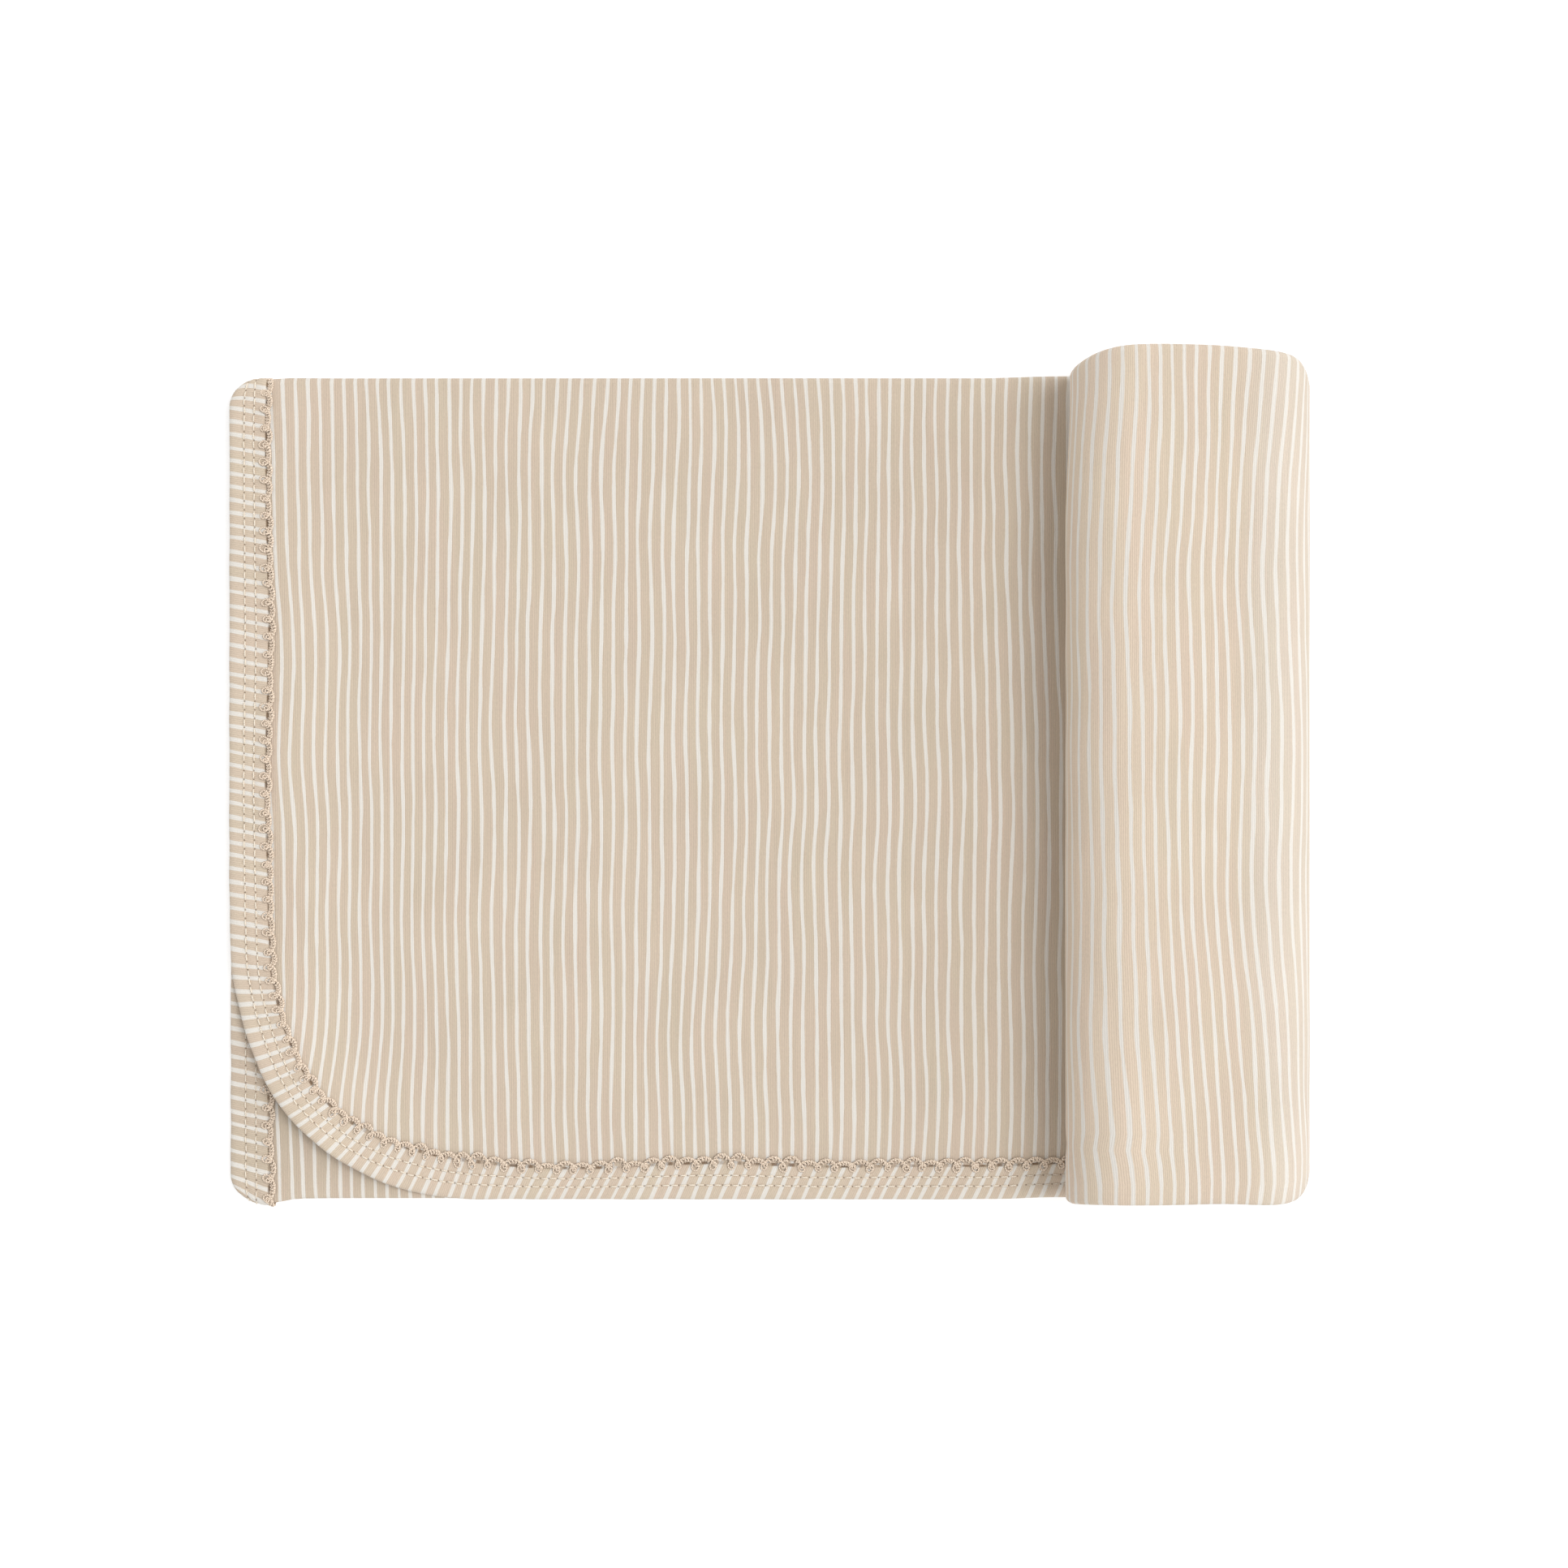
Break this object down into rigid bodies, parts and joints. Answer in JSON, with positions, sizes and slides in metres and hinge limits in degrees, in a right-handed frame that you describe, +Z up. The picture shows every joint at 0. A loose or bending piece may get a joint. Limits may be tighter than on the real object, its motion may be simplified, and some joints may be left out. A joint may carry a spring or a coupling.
{
  "type": "folded baby swaddle blanket",
  "caption": "Striped knit baby swaddle blanket with a bound, picot-trimmed edge, folded in three lengthwise and half rolled up.",
  "frame": {"origin": "centre of the resting face's level below the middle of the whole folded and rolled blanket", "axes": "+X along the folded strip towards the roll, +Y along the roll, +Z up, away from the surface it lies on"},
  "size_m": [0.3752, 0.2928, 0.046],
  "materials": {
    "striped_knit": "soft cotton knit, thin off-white stripes",
    "binding_knit": "the same knit cut across the stripes",
    "picot_trim": "matt cotton thread, crocheted",
    "stitching_thread": "matt sewing thread"
  },
  "bodies": {
    "folded_stack": {"back_panel": "striped_knit", "bottom_fold": "striped_knit", "top_fold": "striped_knit", "inner_flap": "striped_knit", "inner_binding": "binding_knit", "inner_trim": "picot_trim", "inner_stitching": "stitching_thread", "outer_flap": "striped_knit", "outer_left_binding": "binding_knit", "outer_bottom_binding": "binding_knit", "outer_left_trim": "picot_trim", "outer_bottom_trim": "picot_trim", "outer_left_stitching": "stitching_thread", "outer_bottom_stitching": "stitching_thread", "back_left_binding": "binding_knit", "back_left_trim": "picot_trim", "bottom_fold_binding": "binding_knit", "top_fold_binding": "binding_knit"},
    "corner": {"corner_flap": "striped_knit", "corner_binding": "binding_knit", "corner_trim": "picot_trim", "corner_stitching": "stitching_thread"},
    "roll": {"roll_back_layer": "striped_knit", "roll_inner_layer": "striped_knit", "roll_outer_layer": "striped_knit", "roll_bottom_fold": "striped_knit", "roll_top_fold": "striped_knit", "roll_inner_binding": "binding_knit", "roll_bottom_binding": "binding_knit", "roll_bottom_trim": "picot_trim", "roll_inner_trim": "picot_trim", "roll_bottom_stitching": "stitching_thread", "end_back_binding": "binding_knit", "end_inner_binding": "binding_knit", "end_outer_binding": "binding_knit"}
  },
  "joints": [
    {"name": "corner_lift", "type": "hinge", "parent": "folded_stack", "child": "corner", "pos_m": [-0.1251, -0.0839, 0.0064], "axis": [-0.7071, 0.7071, 0], "range_deg": [0, 120]},
    {"name": "roll_lift", "type": "hinge", "parent": "folded_stack", "child": "roll", "pos_m": [0.1036, 0, 0.0064], "axis": [0, -1, 0], "range_deg": [0, 75]}
  ]
}
